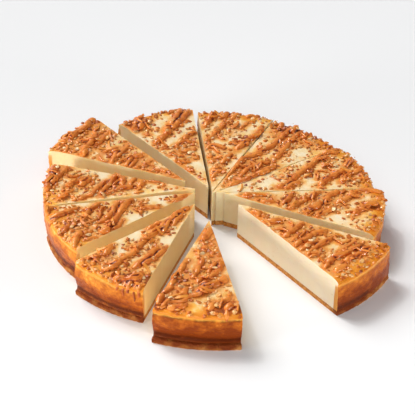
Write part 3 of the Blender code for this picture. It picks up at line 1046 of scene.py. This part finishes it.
# The sauce strokes of each portion: width, then x and y of every point that it runs through, in
# mm in the frame of the knife
STROKES = {
    1: (
        (4.6, -10, 109, -7, 119, -4, 130, -1, 138),
        (3.2, -9, 81, -4, 90, 1, 99, 6, 110, 9, 116),
        (4.6, 6, 125, 9, 131, 11, 137),
        (3.6, 14, 124, 19, 133, 22, 137),
        (3.2, -8, 70, -3, 76, 4, 75, 9, 71),
        (2.3, -6, 56, -1, 57),
        (2.3, -5, 48, 1, 50),
        (4.1, 7, 45, 12, 54, 16, 63),
        (4.6, 20, 70, 24, 78, 29, 85, 34, 93, 40, 100, 44, 110),
        (3.2, -2, 26, 1, 35, 6, 40),
        (3.6, -1, 21, 4, 30, 8, 35),
        (2.3, 23, 108, 28, 116, 31, 121),
        (3.6, 28, 128, 34, 133, 39, 131),
    ),
    2: (
        (5.9, -68, 92, -70, 97, -68, 108, -64, 118),
        (4.6, -66, 94, -62, 105, -57, 111),
        (5.0, -42, 92, -37, 103, -33, 116, -28, 131),
        (4.6, -36, 96, -30, 107, -25, 120, -20, 131),
        (4.6, -46, 75, -42, 84, -37, 92),
        (3.6, -50, 68, -51, 70, -46, 75),
        (2.7, -44, 60, -38, 63),
        (2.7, -37, 50, -35, 50, -32, 57),
        (3.6, -32, 66, -28, 71, -22, 75, -17, 73),
        (3.2, -24, 78, -20, 86, -15, 91),
        (3.2, -28, 57, -22, 56, -18, 61),
        (3.6, -21, 30, -18, 27, -16, 24),
        (2.7, -29, 40, -25, 35),
    ),
    3: (
        (5.9, -106, 72, -100, 81, -93, 89, -88, 102, -83, 106),
        (2.7, -112, 48, -109, 48, -107, 56),
        (4.6, -93, 40, -93, 50, -88, 59, -83, 72, -81, 81),
        (4.1, -80, 61, -75, 70, -71, 78, -69, 85),
        (3.6, -92, 40, -93, 41, -90, 50),
        (3.6, -67, 29, -65, 36, -63, 43, -61, 52),
        (3.2, -61, 38, -57, 47, -53, 56, -52, 63),
        (2.3, -75, 47, -70, 49, -65, 53, -61, 55),
        (4.1, -53, 24, -51, 30, -49, 38, -44, 40, -38, 42),
        (2.7, -50, 22, -46, 30, -43, 35),
        (2.7, -47, 21, -44, 22, -40, 23),
        (2.7, -38, 24, -33, 31, -29, 35),
        (3.2, -27, 17, -24, 19, -18, 16),
        (2.7, -12, 6, -8, 8, -6, 6),
    ),
    4: (
        (5.9, -132, 6, -130, 21, -126, 32, -123, 44, -121, 48),
        (4.1, -128, 16, -123, 24, -117, 34, -112, 42, -110, 44),
        (3.6, -115, 12, -110, 16, -105, 19, -98, 24),
        (4.1, -103, 11, -97, 17, -92, 24),
        (3.6, -92, -3, -88, 6, -83, 12, -79, 17),
        (4.1, -85, -4, -81, 4, -76, 12, -72, 20, -69, 27),
        (4.6, -65, 8, -64, 18, -63, 24),
        (3.2, -58, 8, -56, 15, -52, 20, -51, 20),
        (4.6, -51, 5, -47, 12, -44, 16, -46, 17),
        (3.6, -122, -9, -117, -4, -113, 3, -108, 6),
        (2.7, -105, -10, -97, -6, -90, -1),
        (2.7, -41, 15, -35, 13, -29, 11),
        (2.3, -29, 5, -27, 10, -28, 10),
        (3.2, -72, 0, -67, 5, -62, 5, -55, 7),
    ),
    5: (
        (4.6, -131, -28, -131, -21, -126, -18),
        (4.6, -129, -35, -124, -32, -118, -29, -112, -26, -105, -22),
        (3.6, -120, -59, -116, -53, -113, -47),
        (4.6, -109, -79, -110, -74, -106, -65, -103, -57),
        (4.1, -100, -36, -95, -26, -90, -19, -85, -14),
        (2.3, -88, -42, -86, -31, -83, -22),
        (4.1, -87, -45, -81, -41, -77, -33, -73, -24, -70, -14),
        (4.6, -82, -61, -77, -50, -73, -41, -69, -32, -65, -22, -60, -14, -55, -10),
        (4.6, -88, -59, -83, -61, -79, -55),
        (2.7, -76, -57, -70, -50, -67, -41),
        (2.7, -101, -70, -94, -68, -89, -67),
        (3.2, -51, -26, -46, -23, -40, -23, -33, -24),
        (3.2, -22, -15, -15, -9, -7, -4),
    ),
    6: (
        (4.1, -94, -90, -90, -83, -87, -75),
        (5.0, -83, -78, -80, -71, -76, -62),
        (4.6, -77, -96, -72, -89, -67, -82, -60, -77, -55, -68, -51, -61, -45, -53,
            -40, -46, -34, -40, -29, -31, -23, -25, -17, -16, -11, -11),
        (3.6, -44, -38, -37, -32, -32, -29),
        (5.0, -60, -97, -53, -90, -47, -82, -41, -73, -36, -66),
        (3.2, -52, -93, -46, -88, -39, -83),
        (2.7, -40, -82, -35, -75, -29, -67),
        (3.6, -84, -99, -78, -96, -72, -95),
        (2.7, -31, -45, -28, -36, -24, -28),
        (2.7, -23, -36, -17, -25, -12, -18),
        (3.2, -13, -11, -8, -8, -5, -5),
        (5.0, -101, -89, -103, -86, -100, -85),
        (5.5, -77, -111, -71, -110, -65, -113, -58, -113, -53, -105),
    ),
    7: (
        (5.5, -7, -32, -3, -23, 0, -14),
        (4.6, -1, -41, 2, -37),
        (4.6, -8, -47, -4, -41),
        (4.1, -28, -76, -25, -67, -21, -62),
        (4.1, -37, -99, -34, -89, -31, -80),
        (3.6, -18, -88, -14, -78, -10, -66, -8, -59),
        (3.6, -6, -79, -1, -71, 4, -65),
        (4.1, -5, -88, 1, -81, 6, -74, 7, -67),
        (4.1, -15, -94, -11, -87, -6, -87),
        (5.0, -3, -101, 1, -97, 6, -93, 9, -87),
        (4.1, -17, -109, -12, -104, -8, -97, -4, -92),
        (3.2, -37, -119, -32, -121, -26, -119, -20, -113, -14, -111, -9, -105, -5, -101),
        (4.6, -30, -115, -26, -108, -23, -103),
        (3.6, -44, -109, -40, -105, -35, -100),
        (4.6, -49, -122, -46, -115, -44, -109),
        (3.6, -46, -128, -43, -123, -38, -117),
        (4.6, -7, -132, -4, -126, -2, -122),
        (3.6, 3, -123, 8, -118, 12, -114),
        (5.5, 7, -132, 10, -128, 14, -125),
        (4.6, -40, -128, -34, -127, -26, -126),
    ),
    9: (
        (4.6, 12, -12, 16, -13, 20, -18),
        (4.6, 23, -24, 28, -28, 33, -26, 38, -23),
        (3.6, 38, -38, 41, -34),
        (4.6, 41, -51, 45, -44, 50, -38, 55, -31, 58, -28),
        (2.7, 47, -56, 53, -48, 56, -42),
        (5.0, 50, -62, 54, -57, 60, -51, 66, -44, 72, -39, 78, -39),
        (4.6, 54, -68, 59, -63, 65, -58, 70, -53),
        (3.2, 60, -76, 63, -70, 70, -62, 77, -54, 84, -46),
        (2.7, 62, -79, 64, -78, 70, -74),
        (4.6, 75, -95, 78, -87, 82, -79, 88, -75),
        (1.8, 87, -70, 92, -64, 98, -56, 104, -51),
        (4.1, 81, -78, 88, -76, 95, -70, 102, -63, 109, -55),
        (4.6, 83, -100, 88, -94, 94, -89),
        (4.6, 92, -83, 98, -77, 105, -72, 112, -67),
        (3.6, 107, -66, 113, -61, 119, -61),
    ),
    10: (
        (3.6, 52, -15, 57, -7, 61, 3),
        (4.1, 57, -22, 62, -18, 68, -11, 74, -5, 80, 2, 86, 10),
        (5.0, 71, -27, 75, -24, 80, -19, 85, -12, 91, -4, 96, 5, 102, 11),
        (3.2, 82, -33, 87, -28, 92, -23, 96, -18),
        (4.1, 100, -8, 107, -4, 112, 3, 118, 13),
        (4.6, 115, -26, 121, -19, 126, -12, 130, -7),
        (3.6, 120, 14, 127, 14, 135, 13, 140, 13),
        (3.6, 34, -13, 39, -11, 46, -11),
        (4.6, 17, -5, 22, -3, 26, -4),
        (3.6, 124, -8, 131, -9, 137, -5),
    ),
    11: (
        (4.6, 55, 12, 63, 17, 67, 24, 72, 33, 79, 42, 85, 51, 91, 62, 96, 71),
        (3.6, 62, 11, 68, 16, 75, 23),
        (5.0, 93, 18, 99, 27, 104, 34, 110, 40, 116, 45),
        (3.6, 102, 76, 108, 81, 109, 81),
        (3.6, 96, 72, 103, 75, 109, 74),
        (2.7, 92, 60, 97, 64, 103, 65),
        (4.1, 116, 52, 120, 61, 124, 68),
        (4.1, 123, 39, 128, 46, 131, 54),
        (3.2, 124, 27, 130, 33, 137, 36),
        (4.1, 112, 26, 116, 32, 120, 40),
    ),
    12: (
        (4.6, 19, 41, 22, 49, 27, 60, 34, 64, 40, 69, 46, 77, 54, 84, 60, 96, 66, 107,
            72, 118),
        (2.7, 13, 28, 16, 35, 20, 44),
        (3.6, 24, 29, 30, 40, 36, 47, 44, 51, 51, 56),
        (3.6, 33, 27, 39, 33, 44, 39, 51, 44, 57, 48),
        (4.6, 40, 33, 47, 38, 51, 41),
        (4.1, 56, 62, 61, 71, 65, 82, 69, 91, 73, 100, 78, 108),
        (5.0, 60, 115, 62, 125, 60, 125),
        (4.6, 71, 107, 75, 118, 73, 119),
        (3.2, 81, 99, 85, 108, 85, 112),
        (4.1, 15, 13, 22, 19, 29, 24, 34, 28),
    ),
}


def even_path(points, step):
    """Places a step apart on a smooth line through points given as x, y, x, y in millimetres."""
    corners = np.reshape(points, (-1, 2)) * MM
    length = np.concatenate([[0], np.cumsum(np.linalg.norm(np.diff(corners, axis=0), axis=1))])
    along = np.linspace(0, length[-1], max(4, round(length[-1] / step) + 1))
    path = np.stack([np.interp(along, length, row) for row in corners.T], axis=1)
    for _ in range(2):
        path[1:-1] = (path[:-2] + path[1:-1] + path[2:]) / 3
    return path


def stroke_runs(top_map, rng):
    """The portion's sauce strokes, each a list of (x, y, radius) that swells and wanders a little."""
    runs = []
    for width, *points in STROKES[top_map.number]:
        seed = rng.uniform(0, 50)
        run = []
        for index, (x, y) in enumerate(even_path(points, STROKE_STEP)):
            swell = 1 + 0.3 * rough(index * 0.3, seed, 1)
            x += rough(index * 0.22, seed, 2) * 1.1 * MM
            y += rough(index * 0.22, seed, 3) * 1.1 * MM
            run.append((x, y, 0.5 * width * STROKE_WIDENING * MM * swell))
        runs.append(run)
    return runs


def sauce_cords(top_map, rng):
    """Tubes for the strokes, draped over whatever lies on the portion already."""
    curve = bpy.data.curves.new("sauce", "CURVE")
    curve.dimensions = "3D"
    curve.bevel_depth = 1.0
    curve.bevel_resolution = 3
    curve.use_fill_caps = True
    for run in stroke_runs(top_map, rng):
        heights = [top_map.rest_height(x, y, 2.0 * MM) for x, y, _ in run]
        heights = eased(heights, 4)
        add_cord(curve, [(x, y, z - STROKE_SINK * thick, thick) for (x, y, thick), z in zip(run, heights)])
        for (x, y, thick), height in zip(run, heights):
            top_map.raise_dome(x, y, thick * 1.1, height + (0.9 - STROKE_SINK) * thick)
            top_map.wet(x, y, thick)
    for path in shred_paths(top_map, rng, GLAZED_SHREDS, 0.6 * MM):
        thick = rng.uniform(0.8, 1.35) * MM
        add_cord(curve, [(x, y, height + 0.4 * thick, thick) for x, y, height in path])
        for x, y, height in path:
            top_map.raise_dome(x, y, 1.2 * thick, height + 1.3 * thick)
            top_map.wet(x, y, 0.3 * thick)
    for path in drip_paths(top_map.number, rng):
        add_cord(curve, path)
    cord = bpy.data.objects.new("sauce_cord", curve)
    bpy.context.scene.collection.objects.link(cord)
    return cord


def add_cord(curve, points):
    """A round tube through (x, y, z, radius) points, thinner at its ends."""
    spline = curve.splines.new("POLY")
    last = len(points) - 1
    spline.points.add(last)
    for index, (x, y, z, thick) in enumerate(points):
        spline.points[index].co = (x, y, z, 1)
        spline.points[index].radius = thick * min(1.0, 0.55 + 0.2 * min(index, last - index))


# Sauce that has run over the rim: portion, share of its half angle, length and thickness in mm
DRIPS = (
    (6, 0.34, 4, 1.8), (6, 0.50, 7, 1.4), (6, 0.62, 3, 2.2), (6, 0.78, 9, 1.2), (6, 0.88, 4, 1.9),
    (7, 0.72, 1, 1.8), (5, -0.4, 3, 1.4), (12, 0.2, 4, 1.5),
    (3, 0.3, 5, 1.6), (3, 0.42, 4, 1.8), (2, -0.4, 4, 1.5), (10, 0.6, 4, 1.6), (1, 0.1, 4, 1.5),
)


def drip_paths(number, rng):
    """Tubes that start on the rim, bend over the shoulder and run down the wall."""
    paths = []
    for portion, share, length, thick in DRIPS:
        if portion != number:
            continue
        angle = portion_angle(number) + share * PORTION_ANGLE / 2
        rim = rim_distance(angle)
        path = []
        for step in range(6):
            radius = rim - (9 - 1.5 * step) * MM
            path.append((angle, radius, top_height(angle, radius, rim), thick))
        steps = max(3, round(length / 1.5))
        for step in range(steps + 1):
            z = CAKE_HEIGHT - SHOULDER_DROP - 0.5 * MM - step * length / steps * MM
            sway = angle + rough(step * 0.35, share * 20, number) * 0.012
            radius = wall_radius(sway, z / CAKE_HEIGHT, rim) - 0.2 * MM
            swell = thick * (0.75 + 0.4 * (step == steps))
            path.append((sway, radius, z, swell))
        paths.append([(*spot_at(angle, radius), z, size * MM) for angle, radius, z, size in path])
    return paths


def settled(obj):
    """The mesh that an object's curve or modifiers come to. The object itself goes."""
    bpy.context.view_layer.update()
    graph = bpy.context.evaluated_depsgraph_get()
    mesh = bpy.data.meshes.new_from_object(obj.evaluated_get(graph))
    bpy.data.objects.remove(obj, do_unlink=True)
    return mesh


def sauce_piece(top_map, shapes, rng, material):
    """Strokes of sauce and glazed lumps, melted together where they touch."""
    lumps = Heap(shapes)
    below = round(GLAZED_LUMPS * LUMPS_BELOW_SAUCE)
    flat = Matrix.Identity(4)
    scatter(top_map, lumps, rng, below, LUMP_SIZES, crumb_tone, lift=0.02, spread=0.4, home=flat)
    cord = sauce_cords(top_map, rng)
    above = GLAZED_LUMPS - below
    scatter(top_map, lumps, rng, above, LUMP_SIZES, crumb_tone, lift=-0.04, spread=0.46, home=flat)
    bm = bmesh.new()
    bm.from_mesh(lumps.mesh("lumps"))
    bm.from_mesh(settled(cord))
    joined = new_object("sauce_joined", mesh_from(bm, "sauce_joined"))
    melt = joined.modifiers.new("melt", "REMESH")
    melt.mode = "VOXEL"
    melt.voxel_size = SAUCE_GRAIN
    soften = joined.modifiers.new("soften", "SMOOTH")
    soften.factor = 0.5
    soften.iterations = 3
    mesh = settled(joined)
    mesh.name = f"sauce_{top_map.number:02d}"
    mesh.transform(placing(top_map.number))
    mesh.shade_smooth()
    # Painted shade in the crevices, plus darker sauce run down the wall
    store(mesh, "hollow_shade_and_run_down", hollow_shades(mesh) + run_down(mesh))
    piece = new_object(mesh.name, mesh, material)
    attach(piece, BODY)
    return piece


def run_down(mesh):
    """How far each vertex has run down the wall: darker, like baked-on sauce."""
    return 0.5 * np.clip((32.5 * MM - vertex_rows(mesh)[:, 2]) / (2.5 * MM), 0, 1)


def hollow_shades(mesh):
    """How deep each vertex lies between its neighbours, for painted shade in the crevices: 0 on a swell, 1 in
    a crevice.
    """
    count = len(mesh.vertices)
    points, normals = vertex_rows(mesh), vertex_rows(mesh, "normal")
    ends = np.empty(len(mesh.edges) * 2, dtype=np.int32)
    mesh.edges.foreach_get("vertices", ends)
    first, second = ends.reshape(-1, 2).T
    step = points[second] - points[first]
    length = np.linalg.norm(step, axis=1) + 1e-9
    bend = np.bincount(first, (normals[first] * step).sum(1) / length, count)
    bend -= np.bincount(second, (normals[second] * step).sum(1) / length, count)
    links = np.bincount(first, minlength=count) + np.bincount(second, minlength=count)
    bend /= np.maximum(links, 1)
    for _ in range(HOLLOW_BLURS):
        near = np.bincount(first, bend[second], count) + np.bincount(second, bend[first], count)
        bend = 0.5 * bend + 0.5 * near / np.maximum(links, 1)
    return np.clip(HOLLOW_LEVEL + bend * HOLLOW_CONTRAST, 0, 1)


def stain_portion(piece, top_map):
    """Gives the filling's top the film of sauce that lies round the strokes."""
    x, y, z = moved(vertex_rows(piece.data), placing(top_map.number).inverted()).T
    film = np.maximum(top_map.sauce, FILM_UNDER_CHIPS * top_map.thick)
    film += FILM_BETWEEN.get(top_map.number, 0.0)
    on_top = np.clip((z - FILM_FOOT) / FILM_RISE, 0, 1)
    store(piece.data, "stain", top_map.at(film, x, y) * on_top)


# Table, light and camera


def floor():
    made, nodes, shader = new_material("table")
    nodes.fill(shader, {
        "Base Color": (0.88, 0.89, 0.90, 1),
        "Roughness": 0.9,
        "Specular IOR Level": 0.1,
    })
    bm = bmesh.new()
    bmesh.ops.create_grid(bm, x_segments=1, y_segments=1, size=6)
    new_object("table", mesh_from(bm, "table"), made)


def lamp(kind, name, place, aim, size, power, colour):
    """A round softbox, or a far lamp whose size is the angle that it fills."""
    light = bpy.data.lights.new(name, kind)
    if kind == "AREA":
        light.shape = "DISK"
        light.size = size
    else:
        light.angle = size
    light.energy = power
    light.color = colour
    obj = bpy.data.objects.new(name, light)
    bpy.context.scene.collection.objects.link(obj)
    obj.location = place
    obj.rotation_euler = (Vector(aim) - Vector(place)).to_track_quat("-Z", "Y").to_euler()


def studio():
    """A sky that is brightest overhead, a wide key light and a small one for glints, three fills."""
    world = bpy.data.worlds.new("studio")
    world.use_nodes = True
    sky = Nodes(world.node_tree)
    way = sky.add("ShaderNodeTexCoord", {}).outputs["Generated"]
    height = sky.add("ShaderNodeSeparateXYZ", {"Vector": way}).outputs["Z"]
    glow = sky.add("ShaderNodeMapRange", {"Value": height, "To Min": 0.08, "To Max": 0.25})
    sky.fill(world.node_tree.nodes["Background"], {
        "Strength": glow.outputs["Result"],
        "Color": (0.96, 0.97, 1.0, 1),
    })
    bpy.context.scene.world = world
    middle = (0, 0, 0.02)
    lamp("SUN", "key", (-0.50, 0.46, 0.72), middle, math.radians(40), 2.5, (1.0, 0.99, 0.98))
    lamp("SUN", "sparkle", (-0.50, 0.46, 0.90), middle, math.radians(4), 0.45, (1.0, 0.98, 0.96))
    lamp("AREA", "front_fill", (-0.15, -1.2, 1.0), middle, 0.9, 4.5, (1.0, 0.99, 0.97))
    lamp("AREA", "right_fill", (1.2, -0.8, 0.14), middle, 0.4, 11.0, (1.0, 0.98, 0.96))
    lamp("AREA", "left_fill", (-1.25, -0.8, 0.14), middle, 0.4, 17.0, (1.0, 0.98, 0.96))
    bpy.context.scene.view_settings.view_transform = "Standard"


def camera():
    lens = bpy.data.cameras.new("camera")
    lens.lens = CAMERA_LENS
    lens.sensor_width = SENSOR_WIDTH
    lens.clip_start = 0.05
    obj = bpy.data.objects.new("camera", lens)
    bpy.context.scene.collection.objects.link(obj)
    back = Vector((0, -math.cos(CAMERA_PITCH), math.sin(CAMERA_PITCH)))
    turn = Matrix.Rotation(math.pi / 2 - CAMERA_PITCH, 4, "X") @ Matrix.Rotation(CAMERA_ROLL, 4, "Z")
    obj.matrix_world = Matrix.Translation(CAMERA_TARGET + back * CAMERA_DISTANCE) @ turn
    bpy.context.scene.camera = obj


def main():
    skin, cut, biscuit = baked_skin_material(), cut_cream_material(), biscuit_material()
    caramel, chips, shreds = caramel_material(), chip_material(), shred_material()
    big = Heap(chip_shapes(14, 2, 0.5, 3))
    small = Heap(chip_shapes(8, 1, 0.5, 4))
    strands = Strands()
    for number in PLACES:
        rng = random.Random(100 + number)
        top_map = TopMap(number)
        home = placing(number)
        scatter(top_map, big, rng, CHIPS_BELOW_SAUCE, CHIP_SIZES, chip_tone, 0.02, 0.34, home)
        sauce_piece(top_map, big.shapes, rng, caramel)
        scatter(top_map, big, rng, CHIPS_ON_SAUCE, CHIP_SIZES, chip_tone, 0.02, 0.42, home)
        lay_shreds(top_map, strands, rng, LOOSE_SHREDS)
        scatter(top_map, small, rng, CRUMBS, CRUMB_SIZES, crumb_tone, 0.2, 0.4, home)
        stain_portion(filling_piece(number, skin, cut), top_map)
        biscuit_piece(number, biscuit)
    big.piece("toffee_chips", chips)
    small.piece("toffee_crumbs", chips)
    strands.piece("orange_shreds", shreds)
    floor()
    studio()
    camera()


main()
